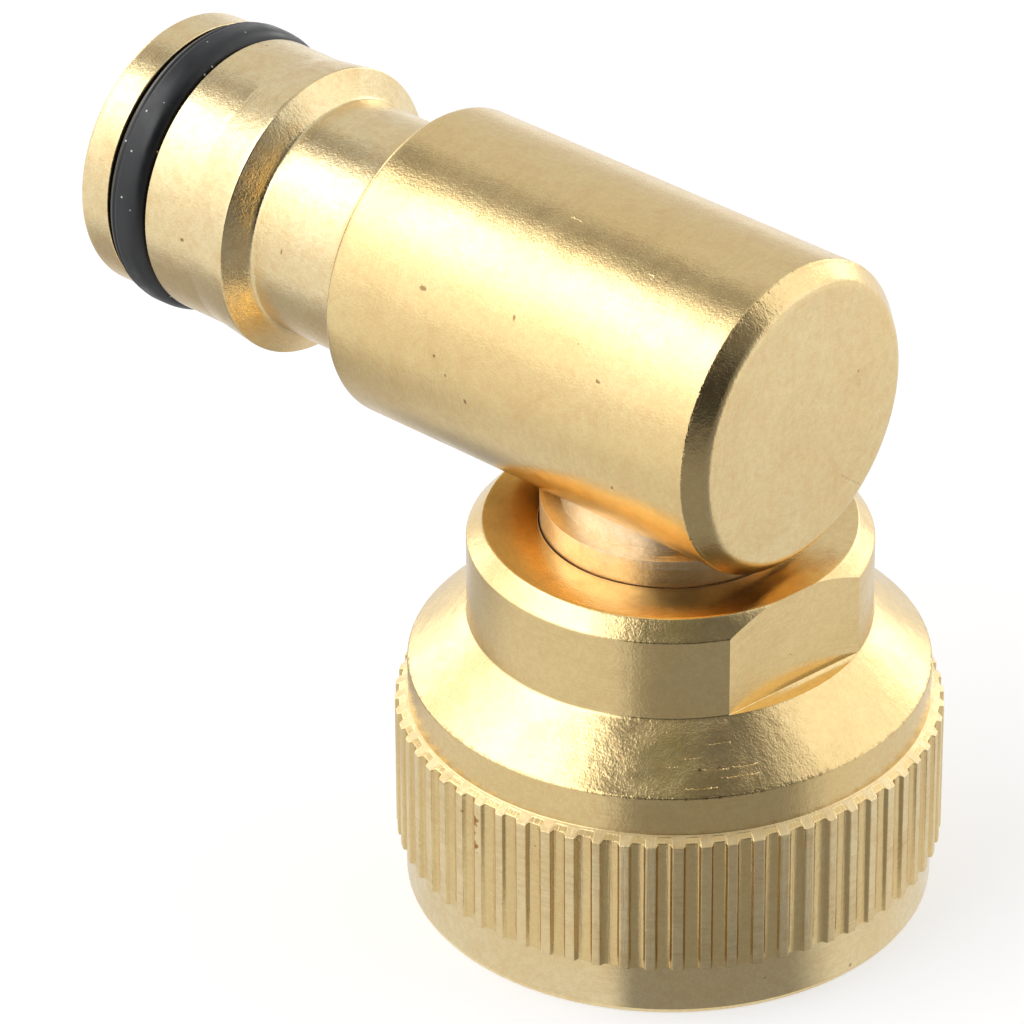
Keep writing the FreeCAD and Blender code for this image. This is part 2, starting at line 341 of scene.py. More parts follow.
def ring_piece(name, centre_radius, section_radius, height, columns, rows, fullness, seam, seam_turn, place):
    """An O-ring: (R + r * c) round the axis and r * s along it.

    c and s are the cosine and sine of v, each with its size raised to the power of the fullness, so a value
    below 1 squares the section as a pressed ring is. r is the section's radius, less the seam's depth in a
    narrow furrow at v = seam_turn, plus a third of it in a wider swelling about the furrow.
    """
    section = even_angles(rows)[None, :]
    across = (section - seam_turn) / FURROW_WIDTH
    swollen = section_radius - seam * (np.exp(-across ** 2) - 0.33 * np.exp(-(across / 2.4) ** 2))
    out, along = (np.sign(part) * np.abs(part) ** fullness for part in (np.cos(section), np.sin(section)))
    angles = even_angles(columns)[:, None]
    points = around_axis(centre_radius + swollen * out, angles, height + swollen * along)
    return make_piece(name, place(points), grid_faces(columns, rows))


def cut_away(piece, tool, materials):
    """Takes a tool's volume out of a piece for good, and removes the tool.

    The piece and the tool get the two named materials. Cut faces have the second, and the others the first.
    """
    for mesh in (piece.data, tool.data):
        if not mesh.materials:
            for name in materials:
                mesh.materials.append(bpy.data.materials.get(name) or bpy.data.materials.new(name))
    tool.data.polygons.foreach_set("material_index", [1] * len(tool.data.polygons))
    cut = piece.modifiers.new("cut", "BOOLEAN")
    cut.operation, cut.solver, cut.object = "DIFFERENCE", "EXACT", tool
    cut.material_mode = "INDEX"
    baked = bpy.data.meshes.new_from_object(piece.evaluated_get(bpy.context.evaluated_depsgraph_get()))
    piece.modifiers.clear()
    piece.data = baked
    baked.name = piece.name
    bpy.data.objects.remove(tool)


def read_numbers(items, name):
    """One whole number of each item of a mesh."""
    numbers = np.zeros(len(items), np.int32)
    items.foreach_get(name, numbers)
    return numbers


def sharpen_borders(piece):
    """Marks as sharp each edge whose two faces have different material numbers."""
    mesh = piece.data
    material = read_numbers(mesh.polygons, "material_index")
    of_loop = np.repeat(material, read_numbers(mesh.polygons, "loop_total"))
    edge = read_numbers(mesh.loops, "edge_index")
    low = np.full(len(mesh.edges), material.max() + 1)
    high = np.full(len(mesh.edges), -1)
    np.minimum.at(low, edge, of_loop)
    np.maximum.at(high, edge, of_loop)
    sharp = mesh.attributes.get("sharp_edge") or mesh.attributes.new("sharp_edge", "BOOLEAN", "EDGE")
    sharp.data.foreach_set("value", low != high)
    mesh.update()


def dress(piece, body, nodes=(), materials=()):
    """Gives a piece its materials and its body, and hides the nodes that it stands for."""
    for material in materials:
        piece.data.materials.append(material)
    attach(piece, body)
    if nodes:
        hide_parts(*nodes)


# Shader building

class Nodes:
    """Short ways to add nodes to one node tree."""

    def __init__(self, tree):
        self.tree = tree

    def add(self, kind, inputs=None, **settings):
        """Adds a node, sets its settings, and sets or links its inputs."""
        node = self.tree.nodes.new(kind)
        for key, value in settings.items():
            setattr(node, key, value)
        for key, value in (inputs or {}).items():
            self.feed(node.inputs[key], value)
        return node

    def feed(self, socket, value):
        """Links a socket to another, or sets its value. A colour is given without its alpha."""
        if isinstance(value, bpy.types.NodeSocket):
            self.tree.links.new(value, socket)
        else:
            socket.default_value = (*value, 1) if socket.type == "RGBA" else value

    def group(self, maker, inputs):
        """The outputs of a shared group, which its maker makes on first use."""
        tree = bpy.data.node_groups.get(maker.__name__) or maker(maker.__name__)
        return self.add("ShaderNodeGroup", inputs, node_tree=tree).outputs

    def here(self):
        """The point in the piece's own frame."""
        return self.add("ShaderNodeTexCoord").outputs["Object"]

    def split(self, vector):
        """A vector's three parts."""
        return self.add("ShaderNodeSeparateXYZ", {0: vector}).outputs

    def join(self, x, y, z=0.0):
        """A vector from its three parts."""
        return self.add("ShaderNodeCombineXYZ", {0: x, 1: y, 2: z}).outputs[0]

    def vector(self, operation, first, second):
        """The result of a vector maths node."""
        return self.add("ShaderNodeVectorMath", {0: first, 1: second}, operation=operation).outputs[0]

    def length(self, vector):
        """A vector's length."""
        return self.add("ShaderNodeVectorMath", {0: vector}, operation="LENGTH").outputs["Value"]

    def maths(self, operation, first, second=0.0, third=0.0):
        """The result of a maths node."""
        return self.add("ShaderNodeMath", {0: first, 1: second, 2: third}, operation=operation).outputs[0]

    def times(self, first, second):
        """The product of two values."""
        return self.maths("MULTIPLY", first, second)

    def most(self, first, second):
        """The greater of two values."""
        return self.maths("MAXIMUM", first, second)

    def without(self, mask):
        """1 less a mask."""
        return self.maths("SUBTRACT", 1.0, mask)

    def total(self, start, parts):
        """A value plus each part's value times its weight."""
        for value, weight in parts:
            start = self.maths("MULTIPLY_ADD", value, weight, start)
        return start

    def cross(self, mask, first, second):
        """The first value where the mask is 0 and the second where it is 1."""
        return self.maths("ADD", self.times(first, self.without(mask)), self.times(second, mask))

    def radius(self, x, y):
        """The distance of (x, y) from the axis."""
        return self.maths("SQRT", self.maths("ADD", self.times(x, x), self.times(y, y)))

    def range(self, value, low, high, to_low=0.0, to_high=1.0, smooth=True):
        """A value carried from one range to another and held at its ends."""
        node = self.add("ShaderNodeMapRange", {0: value, 1: low, 2: high, 3: to_low, 4: to_high})
        node.interpolation_type = "SMOOTHSTEP" if smooth else "LINEAR"
        return node.outputs[0]

    def fall(self, value, low, high):
        """1 below low, falling smoothly to 0 at high."""
        return self.range(value, low, high, 1.0, 0.0)

    def window(self, value, low, high, soft):
        """1 between low and high, falling smoothly to 0 over soft on each side."""
        rise = self.range(value, low - soft, low + soft)
        return self.times(rise, self.fall(value, high - soft, high + soft))

    def mix(self, factor, first, second):
        """A blend of two colours."""
        node = self.add("ShaderNodeMix", {"Factor": factor}, data_type="RGBA")
        self.feed(node.inputs[6], first)
        self.feed(node.inputs[7], second)
        return node.outputs[2]

    def noise(self, vector, scale, detail=2.0, rough=0.5, distortion=0.0):
        """The value of a noise texture."""
        return self.add("ShaderNodeTexNoise", {
            "Vector": vector, "Scale": scale, "Detail": detail, "Roughness": rough, "Distortion": distortion,
        }).outputs[0]

    def cells(self, vector, scale):
        """The distance from the middle of the nearest random cell, and that cell's random numbers."""
        cells = self.add("ShaderNodeTexVoronoi", {"Vector": vector, "Scale": scale}, feature="F1").outputs
        return cells["Distance"], self.add("ShaderNodeSeparateColor", {0: cells["Color"]}).outputs


def new_group(name, vectors, floats, outputs):
    """An empty shader group with named vector and float inputs and float outputs."""
    tree = bpy.data.node_groups.new(name, "ShaderNodeTree")
    for labels, way, kind in (
        (vectors, "INPUT", "NodeSocketVector"),
        (floats, "INPUT", "NodeSocketFloat"),
        (outputs, "OUTPUT", "NodeSocketFloat"),
    ):
        for label in labels:
            tree.interface.new_socket(name=label, in_out=way, socket_type=kind)
    nodes = Nodes(tree)
    return tree, nodes, nodes.add("NodeGroupInput").outputs, nodes.add("NodeGroupOutput").inputs


def lathe_marks(name):
    """Fine rings left by a turning tool: noise that changes fast along the axis and the radius and slowly
    round the axis, which is the vector's Z. Stroke is how many marks follow one another in a radian."""
    tree, nodes, given, out = new_group(name, ["Vector"], ["Spacing", "Stroke", "Breakup"],
                                        ["Height", "Bands"])
    x, y, z = nodes.split(given["Vector"])
    turn = nodes.maths("ARCTAN2", y, x)
    rings = nodes.join(
        nodes.maths("DIVIDE", nodes.maths("ADD", z, nodes.radius(x, y)), given["Spacing"]),
        nodes.times(nodes.maths("SINE", turn), given["Stroke"]),
        nodes.times(nodes.maths("COSINE", turn), given["Stroke"]),
    )
    patches = nodes.range(nodes.noise(given["Vector"], 260.0), 0.38, 0.6)
    held = nodes.without(nodes.times(given["Breakup"], patches))
    nodes.feed(out["Height"], nodes.times(nodes.noise(rings, 1.0, 3.0, 0.6), held))
    nodes.feed(out["Bands"], nodes.noise(rings, 0.13))
    return tree


def metal_grain(name):
    """Fine grain of tumbled metal, two sizes of noise added up, and a slow waviness of the surface."""
    tree, nodes, given, out = new_group(name, ["Vector"], ["Size"], ["Height", "Wave"])
    scale = nodes.maths("DIVIDE", 1.0, given["Size"])
    small = nodes.noise(given["Vector"], scale, 2.0, 0.55, 0.3)
    large = nodes.noise(given["Vector"], nodes.times(scale, 0.35), 1.0)
    nodes.feed(out["Height"], nodes.total(nodes.times(small, 0.6), [(large, 0.4)]))
    nodes.feed(out["Wave"], nodes.noise(given["Vector"], 420.0, 2.0, 0.45))
    return tree


def coarse_skin(name):
    """The rough skin left by a blunt tool: fine lumps, stronger in some patches than in others."""
    tree, nodes, given, out = new_group(name, ["Vector"], ["Size"], ["Height"])
    lumps = nodes.noise(given["Vector"], nodes.maths("DIVIDE", 1.0, given["Size"]), 3.0, 0.62, 0.4)
    patches = nodes.range(nodes.noise(given["Vector"], 420.0, 3.0, 0.6), 0.4, 0.62, 0.2, 1.0)
    nodes.feed(out["Height"], nodes.times(lumps, patches))
    return tree


def metal_wear(name):
    """Signs of handling: slow clouds of colour, blotches of tarnish, and small pits."""
    tree, nodes, given, out = new_group(name, ["Vector"], [], ["Clouds", "Tarnish", "Pits"])
    clouds = nodes.noise(given["Vector"], 150.0, 4.0, 0.6, 0.5)
    stains = nodes.noise(given["Vector"], 330.0, 5.0, 0.66, 0.8)
    distance, chance = nodes.cells(given["Vector"], 620.0)
    spot = nodes.maths("LESS_THAN", distance, nodes.range(chance[1], 0.0, 1.0, 0.02, 0.07, False))
    nodes.feed(out["Clouds"], nodes.range(clouds, 0.34, 0.66))
    nodes.feed(out["Tarnish"], nodes.range(stains, 0.56, 0.76))
    nodes.feed(out["Pits"], nodes.times(spot, nodes.maths("GREATER_THAN", chance[0], 0.8)))
    return tree


def wear_mark(name):
    """One mark of wear: 1 within Size of a place and 0 outside, with a ragged edge. Stretch multiplies the
    distance along each axis, so a value below 1 makes the mark longer that way."""
    tree, nodes, given, out = new_group(name, ["Vector", "Place", "Stretch"], ["Size"], ["Mask"])
    away = nodes.vector("SUBTRACT", given["Vector"], given["Place"])
    reach = nodes.length(nodes.vector("MULTIPLY", away, given["Stretch"]))
    ragged = nodes.range(nodes.noise(given["Vector"], 4200.0), 0.3, 0.7, 0.65, 1.5)
    reach = nodes.maths("DIVIDE", nodes.times(reach, ragged), given["Size"])
    nodes.feed(out["Mask"], nodes.fall(reach, 0.5, 1.0))
    return tree


def all_marks(nodes, place, marks):
    """The masks of several marks joined into one.

    A mark is x, y, z and its size in millimetres, and its stretch along each axis unless it is round.
    """
    joined = None
    for x, y, z, size, *stretch in marks:
        mask = nodes.group(wear_mark, {
            "Vector": place, "Place": (x * MM, y * MM, z * MM), "Stretch": stretch or (1.0, 1.0, 1.0),
            "Size": size * MM,
        })["Mask"]
        joined = mask if joined is None else nodes.most(joined, mask)
    return joined


def new_material(name):
    """An empty node material, with its helper and its shader."""
    material = bpy.data.materials.new(name)
    material.use_nodes = True
    return material, Nodes(material.node_tree), material.node_tree.nodes["Principled BSDF"]


def finish_shader(nodes, shader, colour, roughness, height=None):
    """Gives a shader its colour, its roughness and the relief of a height in metres."""
    nodes.feed(shader.inputs["Base Color"], colour)
    nodes.feed(shader.inputs["Roughness"], roughness)
    if height is not None:
        bump = nodes.add("ShaderNodeBump", {"Height": height, "Distance": 1.0, "Strength": 1.0})
        nodes.feed(shader.inputs["Normal"], bump.outputs[0])


def nut_zones(nodes, place):
    """Masks of the nut's zones, and the height of the upright tool lines on the knurl."""
    sizes = bpy.context.scene.connector_nut
    x, y, z = nodes.split(place)
    radius = nodes.radius(x, y)
    soft = 0.06 * MM
    knurl_top = sizes.rim_height + sizes.knurl_height
    band_top = knurl_top + sizes.bevel_height
    cone_base = band_top + sizes.shoulder_height
    inside = sizes.neck_radius - sizes.neck_bevel_width
    cone = nodes.window(z, cone_base, cone_base + sizes.cone_height, soft)
    bevel = nodes.times(nodes.window(z, sizes.top - sizes.neck_bevel_height, sizes.top + MM, soft),
                        nodes.range(radius, inside - 0.1 * MM, inside + 0.1 * MM))
    top_face = nodes.times(nodes.range(z, sizes.top - 0.1 * MM, sizes.top - 0.02 * MM),
                           nodes.fall(radius, inside - 0.12 * MM, inside + 0.02 * MM))
    rim = nodes.fall(z, sizes.rim_height - soft, sizes.rim_height + soft)
    band = nodes.window(z, sizes.rim_height, band_top, soft)
    groove = nodes.add("ShaderNodeAttribute", attribute_name="groove").outputs["Fac"]
    ridge = nodes.times(band, nodes.fall(groove, 0.02, 0.2))
    ragged = nodes.noise(place, 2600.0, 3.0, 0.65)
    blotch = nodes.range(nodes.noise(place, 420.0, 5.0, 0.7), 0.5, 0.68)
    near = nodes.range(radius, sizes.bore_radius + 0.05 * MM, sizes.bore_radius + 0.5 * MM, 0.8, 0.0)
    edge = nodes.window(z, cone_base - 0.05 * MM, cone_base + 0.1 * MM, 0.05 * MM)
    teeth = nodes.window(z, knurl_top - 0.16 * MM, knurl_top + 0.02 * MM, 0.08 * MM)
    lines = nodes.join(nodes.times(nodes.maths("ARCTAN2", y, x), sizes.knurl_radius / (0.09 * MM)),
                       nodes.maths("DIVIDE", z, 3.5 * MM))
    return {
        "coarse": nodes.most(cone, bevel),
        "pale": nodes.most(nodes.times(rim, 0.9), ridge),
        # Painted warm shade on the top face under the barrel, strongest on its -Y side
        "warm": nodes.times(top_face, nodes.range(y, -2.5 * MM, 2 * MM, 1.0, 0.1)),
        # Browner in blotches and towards the bore's edge
        "burnt": nodes.times(top_face, nodes.most(blotch, near)),
        "turned": nodes.times(cone, 3.5),
        "ridge": ridge,
        # The knurl's groove walls, which take painted shade
        "wall": nodes.times(band, nodes.window(groove, 0.3, 0.8, 0.2)),
        "stain": nodes.times(edge, nodes.range(ragged, 0.45, 0.62)),
        "burr": nodes.times(teeth, nodes.range(ragged, 0.38, 0.6, 0.0, 0.5)),
        "upright": nodes.times(band, nodes.noise(lines, 1.0, 2.0, 0.6)),
    }


def elbow_zones(nodes, place):
    """Masks of the elbow's zones: the nipple, paler on top as painted light and warmer underneath as painted
    warm shade, the plain closed end, and the worn edge between the barrel and the bevel of that end."""
    sizes = bpy.context.scene.connector_elbow
    split = nodes.split(place)
    x, z = split[0], split[2]
    corner = sizes.back - sizes.end_bevel_length
    nipple = nodes.fall(x, -sizes.front - 2 * MM, -sizes.front - 0.3 * MM)
    under = nodes.fall(z, sizes.axis_height - 4.5 * MM, sizes.axis_height - 0.3 * MM)
    ragged = nodes.noise(place, 1500.0, 3.0, 0.65)
    edge = nodes.window(x, corner - 0.06 * MM, corner + 0.14 * MM, 0.06 * MM)
    end = nodes.range(x, corner, corner + 0.3 * MM)
    face = nodes.range(x, sizes.back - 0.3 * MM, sizes.back - 0.05 * MM)
    rough = nodes.times(end, nodes.total(1.0, [(face, -0.55)]))
    return {
        # Painted light makes the nipple's upper side paler, and painted warm shade warms its underside; the
        # end face's paleness is its own tone
        "pale": nodes.most(nodes.times(nipple, nodes.without(under)), nodes.times(face, 0.5)),
        "warm": nodes.times(nodes.times(nipple, under), 0.45),
        "coarse": nodes.most(rough, nodes.times(nipple, 0.6)),
        "turned": nodes.times(end, -0.92),
        "burr": nodes.times(edge, nodes.range(ragged, 0.35, 0.55)),
        "stain": nodes.times(edge, nodes.range(ragged, 0.6, 0.66)),
    }


# Colours that shade the brass
CLOUDED = (0.76, 0.53, 0.21)
BANDED = (0.64, 0.46, 0.2)
GRAINED = (0.60, 0.42, 0.18)
RINGED = (0.58, 0.40, 0.16)
MOTTLED = (0.72, 0.47, 0.22)
# Brown of the top face's blotches and of its darkening towards the bore's edge
BROWNED = (0.42, 0.14, 0.035)
SCORED = (0.56, 0.42, 0.2)
# Painted shade for the knurl's groove walls
SHADED = (0.34, 0.2, 0.075)
DUST = (0.6, 0.6, 0.58)
PLASTIC_SHADE = (0.66, 0.65, 0.6)

# Heights of the brass's relief
RING_RELIEF = 0.0045 * MM
GRAIN_RELIEF = 0.02 * MM
WAVE_RELIEF = 0.045 * MM
SKIN_RELIEF = 0.02 * MM
BURR_RELIEF = 0.018 * MM
STAIN_RELIEF = -0.01 * MM
SCORE_RELIEF = 0.03 * MM
LINE_RELIEF = 0.014 * MM
NICK_RELIEF = -0.03 * MM
RUBBER_RELIEF = 0.004 * MM


def brass_material(name, lay="nut", base=None, roughness=0.0, marks=1.0, spacing=0.1 * MM, stroke=3.0,
                   grain=0.3, wave=1.0, tarnished=0.5, zones=None, specks=(), stains=(), nicks=()):
    """Turned brass: lathe marks, grain, slow waves, clouds of colour, tarnish and pits on a metal shader.

    Roughness is added to that of the finish. Zones is a function that gives the masks of a piece's own zones:
    the pale, warm and brown ones change the colour, where the nipple's paleness is painted light and the warm
    one is painted warm shade, turned strengthens the lathe marks, coarse and ridge roughen, wall darkens the
    knurl's groove walls with painted shade and stain darkens, burr raises, and upright lines the knurl.
    Specks are dark, stains are brown, and nicks are dents.
    """
    finish = bpy.context.scene.connector_finish
    roughness += finish.roughness
    material, nodes, shader = new_material(name)
    place = here = nodes.here()
    if lay == "barrel":
        here = nodes.add("ShaderNodeMapping", {
            "Vector": here, "Location": (-AXIS_HEIGHT, 0.0, 0.0), "Rotation": (0.0, math.radians(90), 0.0),
        }).outputs[0]
    rings = nodes.group(lathe_marks, {"Vector": here, "Spacing": spacing, "Stroke": stroke, "Breakup": 0.75})
    grained = nodes.group(metal_grain, {"Vector": here, "Size": 0.13 * MM})
    wear = nodes.group(metal_wear, {"Vector": here})
    mottle = nodes.noise(here, 1300.0, 4.0, 0.7)
    zone = zones(nodes, place) if zones else {}
    turned = nodes.times(rings["Height"], RING_RELIEF * marks)
    tints = [
        (nodes.times(wear["Clouds"], 0.28), CLOUDED),
        (nodes.times(wear["Tarnish"], 0.5 * tarnished), finish.tarnish),
        (nodes.range(rings["Bands"], 0.35, 0.7, 0.0, 0.06), BANDED),
        (nodes.range(grained["Height"], 0.42, 0.58, 0.0, 0.22), GRAINED),
        (nodes.range(rings["Height"], 0.42, 0.6, 0.0, 0.16), RINGED),
        (nodes.range(mottle, 0.45, 0.68, 0.0, 0.5 * tarnished), MOTTLED),
    ]
    roughs = [(wear["Tarnish"], 0.06)]
    reliefs = [(grained["Height"], GRAIN_RELIEF * grain), (grained["Wave"], WAVE_RELIEF * wave)]
    if zone:
        turned = nodes.times(turned, nodes.maths("ADD", zone["turned"], 1.0))
        skin = nodes.group(coarse_skin, {"Vector": place, "Size": 0.17 * MM})
        # Painted light on the nipple in the pale zone, and painted warm shade on the nut's top face and the
        # nipple's underside in the warm zone
        tints = [(zone["pale"], finish.pale_brass), (zone["warm"], finish.warm_brass), *tints,
                 (nodes.times(zone["stain"], 0.3), finish.grime)]
        reliefs += [(nodes.times(zone["coarse"], skin["Height"]), SKIN_RELIEF), (zone["burr"], BURR_RELIEF),
                    (zone["stain"], STAIN_RELIEF)]
    if "ridge" in zone:
        fine = nodes.group(coarse_skin, {"Vector": place, "Size": 0.15 * MM})
        across = nodes.group(lathe_marks, {"Vector": here, "Spacing": 0.22 * MM, "Stroke": 9.0,
                                           "Breakup": 0.3})
        scored = nodes.range(across["Height"], 0.4, 0.6, 0.0, 0.3)
        # Blotches browner, ridges scored, and painted shade on the groove walls
        tints += [(nodes.times(zone["burnt"], 0.24), BROWNED), (nodes.times(zone["ridge"], scored), SCORED),
                  (nodes.times(zone["wall"], 0.14), SHADED)]
        roughs.append((zone["ridge"], 0.2))
        reliefs += [(nodes.times(zone["ridge"], across["Height"]), SCORE_RELIEF),
                    (nodes.times(zone["ridge"], fine["Height"]), SKIN_RELIEF),
                    (zone["upright"], LINE_RELIEF)]
    if stains:
        brown = all_marks(nodes, place, stains)
        tints.append((nodes.times(brown, 0.85), finish.rust))
        roughs.append((brown, 0.25))
    if specks:
        tints.append((nodes.times(all_marks(nodes, place, specks), 0.75), finish.grime))
    if nicks:
        reliefs.append((all_marks(nodes, place, nicks), NICK_RELIEF))
    tints.append((nodes.times(wear["Pits"], 0.55), finish.grime))
    tint = base or finish.brass
    for factor, colour in tints:
        tint = nodes.mix(factor, tint, colour)
    rough = nodes.range(grained["Wave"], 0.35, 0.65, roughness - 0.03, roughness + 0.04)
    finish_shader(nodes, shader, tint, nodes.total(rough, roughs), nodes.total(turned, reliefs))
    shader.inputs["Metallic"].default_value = 1.0
    return material


def rubber_material(name, roughness=0.0):
    """Moulded black rubber with a faint mottle and white dust. Roughness is added to that of the finish."""
    finish = bpy.context.scene.connector_finish
    roughness += finish.rubber_roughness
    material, nodes, shader = new_material(name)
    here = nodes.here()
    distance, chance = nodes.cells(here, 1500.0)
    dust = nodes.times(nodes.fall(distance, 0.06, 0.12), nodes.maths("GREATER_THAN", chance[0], 0.72))
    mottle = nodes.noise(here, 900.0, 3.0, 0.6)
    finish_shader(nodes, shader, nodes.mix(dust, finish.rubber, DUST),
                  nodes.range(mottle, 0.3, 0.7, roughness - 0.05, roughness + 0.1),
                  nodes.times(nodes.noise(here, 5000.0), RUBBER_RELIEF))
    return material


def plastic_material(name):
    """Plain white washer plastic with a light mottle."""
    material, nodes, shader = new_material(name)
    mottle = nodes.noise(nodes.here(), 700.0, 3.0)
    plastic = bpy.context.scene.connector_finish.plastic
    finish_shader(nodes, shader, nodes.mix(nodes.range(mottle, 0.3, 0.7, 0.0, 0.2), plastic, PLASTIC_SHADE),
                  nodes.range(mottle, 0.3, 0.7, 0.42, 0.52))
    return material


# Coupling nut

def ridge_columns(sizes):
    """Angles and depths of the columns of points that make the knurl.

    Each groove is a trapezoid: its depth is full on the floor and falls evenly to nothing at its mouth.
    Points stand a small edge to each side of the floor's and the mouth's corners, with each groove a little
    uneven.
    """
    draw = np.random.default_rng(SEED)
    pitch = math.tau * sizes.knurl_radius / sizes.ridge_count
    floor = sizes.floor_width / 2
    mouth = (pitch - sizes.land_width) / 2
    edge = RIDGE_EDGE
    half = np.array([floor - edge, floor + edge, mouth - edge, mouth, mouth + edge, mouth + 3 * edge])
    wall = (mouth - half) / (mouth - floor)
    depth = np.clip(wall, 0, 1)
    depth[3] = 0.25 * edge / (mouth - floor)
    offsets = np.concatenate([-half[::-1], half])
    depths = np.concatenate([depth[::-1], depth]) * sizes.groove_depth
    shake = draw.normal(0, 0.02 * MM, (sizes.ridge_count, 1))
    width = 1 + draw.normal(0, 0.05, (sizes.ridge_count, 1))
    deep = 0.95 + draw.uniform(-0.22, 0.05, (sizes.ridge_count, 1))
    centre = even_angles(sizes.ridge_count)[:, None] + sizes.knurl_turn
    angles = centre + (offsets[None] * width + shake) / sizes.knurl_radius
    return angles.ravel(), (depths[None] * deep).ravel()


def channel(radius, floor, start, end, rounding):
    """The corners of a groove from start to end, cut from a radius down to its floor."""
    return [
        (radius, start, rounding), (floor, start, rounding),
        (floor, end, rounding), (radius, end, rounding),
    ]


def nut_corners(sizes):
    """The nut's outline from the mouth up the outside, over the top and down the inside."""
    fine, soft = 0.06 * MM, 0.15 * MM
    knurl_top = sizes.rim_height + sizes.knurl_height
    shoulder_base = knurl_top + sizes.bevel_height
    cone_base = shoulder_base + sizes.shoulder_height
    neck_base = cone_base + sizes.cone_height
    return [
        (sizes.thread_radius, 0, 0.08 * MM),
        (sizes.rim_radius, 0, 0.25 * MM),
        (sizes.rim_radius, sizes.rim_height, 0.04 * MM),
        (sizes.knurl_radius, sizes.rim_height, fine),
        (sizes.knurl_radius, knurl_top, fine),
        (sizes.shoulder_radius, shoulder_base, 0.08 * MM),
        (sizes.shoulder_radius, cone_base, soft),
        (sizes.neck_radius, neck_base, soft),
        (sizes.neck_radius, sizes.top - sizes.neck_bevel_height, soft),
        (sizes.neck_radius - sizes.neck_bevel_width, sizes.top, soft),
        (sizes.bore_radius, sizes.top, fine),
        (sizes.bore_radius, sizes.chamber_top, 0),
        (sizes.chamber_radius, sizes.chamber_top, 0),
        (sizes.chamber_radius, sizes.seat_height, 0),
        (sizes.relief_radius, sizes.seat_height, 0),
        (sizes.relief_radius, sizes.thread_length, 0),
        (sizes.thread_radius, sizes.thread_length, 0),
    ]


def box_tool(name, low, high, turn):
    """A cutting block between two corners, turned about Z."""
    x, y, z = np.meshgrid(*np.array([low, high], float).T, indexing="ij")
    points = np.stack([x, y, z], axis=-1).reshape(-1, 3)
    cos, sin = math.cos(turn), math.sin(turn)
    points = points @ np.array([[cos, sin, 0], [-sin, cos, 0], [0, 0, 1]])
    quads = np.array([[0, 1, 3, 2], [4, 6, 7, 5], [0, 4, 5, 1], [2, 3, 7, 6], [0, 2, 6, 4], [1, 5, 7, 3]])
    return make_piece(name, points, quads)


def build_nut(sizes):
    """The knurled nut with its two wrench flats milled off."""
    angles, depths = ridge_columns(sizes)
    bevel_width = sizes.knurl_radius - sizes.shoulder_radius
    nut = turned_piece("coupling_nut_finished", nut_corners(sizes), angles, ripple=depths, slides={
        3: (-1, 0), 4: (-1, sizes.bevel_height / bevel_width),
    })
    place = np.zeros(3 * len(nut.data.vertices), np.float32)
    nut.data.vertices.foreach_get("co", place)
    x, y, z = place.reshape(len(angles), -1, 3).T
    knurl_end = sizes.rim_height + sizes.knurl_height + sizes.bevel_height
    banded = (np.hypot(x, y) > sizes.rim_radius + 0.05 * MM) & (z < knurl_end)
    groove = np.where(banded.T, depths[:, None] / sizes.groove_depth, 0)
    store = nut.data.attributes.new("groove", "FLOAT", "POINT")
    store.data.foreach_set("value", groove.astype(np.float32).ravel())
    neck_base = knurl_end + sizes.shoulder_height + sizes.cone_height
    side = 2 * sizes.neck_radius
    for turn in (0, math.pi):
        block = box_tool("flat_cutter", (sizes.flats_across / 2, -side / 2, neck_base),
                         (side, side / 2, sizes.top + MM), sizes.flats_turn + turn)
        cut_away(nut, block, ("nut_blank", "nut_milled"))
    sharpen_borders(nut)
    return nut


def build_thread(sizes):
    """The inside thread as a ribbed sleeve.

    Its inner radius at angle a and height z is the thread's radius less its depth times a rounded tooth of
    the phase z / pitch - a / full turn, faded out by bevels at both ends. Its back lies inside the nut's
    wall.
    """
    columns, rows = THREAD_GRID
    around = even_angles(columns)[:, None]
    top, bottom = sizes.thread_length - 0.15 * MM, 0.12 * MM
    height = np.linspace(top, bottom, rows)[None, :]
    phase = height / sizes.thread_pitch - around / math.tau
    tooth = np.clip(0.5 + 0.72 * np.cos(math.tau * phase), 0, 1)
    fade = np.clip((height - bottom) / (1.3 * MM), 0, 1) * np.clip((top - height) / (1.1 * MM), 0, 1)
    radius = sizes.thread_radius - 0.03 * MM - sizes.thread_depth * np.minimum(tooth, fade)
    radius = np.hstack([radius, np.full((columns, 2), sizes.thread_radius + 0.25 * MM)])
    height = np.hstack([height, [[bottom, top]]])
    return make_piece("socket_thread", around_axis(radius, around, height), grid_faces(columns, rows + 2))


# Elbow, stem and seals

def elbow_corners(sizes):
    """The elbow's outline from the middle of the closed end along the outside to the nose and back inside."""
    fine = 0.07 * MM
    fillet = sizes.barrel_radius - sizes.front_round - sizes.waist_radius
    land_end = sizes.collar_rear + sizes.collar_land
    return [
        (0, -sizes.back, 0),
        (sizes.barrel_radius - sizes.end_bevel_width, -sizes.back, 0.75 * MM),
        (sizes.barrel_radius, sizes.end_bevel_length - sizes.back, 0.22 * MM),
        (sizes.barrel_radius, sizes.front, sizes.front_round),
        (sizes.waist_radius, sizes.front, fillet * 0.97),
        (sizes.waist_radius, sizes.collar_root, 0.25 * MM),
        (sizes.collar_radius, sizes.collar_rear, fine),
        (sizes.collar_radius, land_end, fine),
        (sizes.nose_radius, sizes.collar_front, 0.5 * MM),
        *channel(sizes.nose_radius, sizes.groove_floor, sizes.groove_start, sizes.groove_end, fine),
        (sizes.nose_radius, sizes.nose, sizes.nose_edge),
        (sizes.flow_radius, sizes.nose, 0.35 * MM),
        (sizes.flow_radius, -sizes.flow_blind, fine),
        (0, -sizes.flow_blind - sizes.drill_point, 0),
    ]


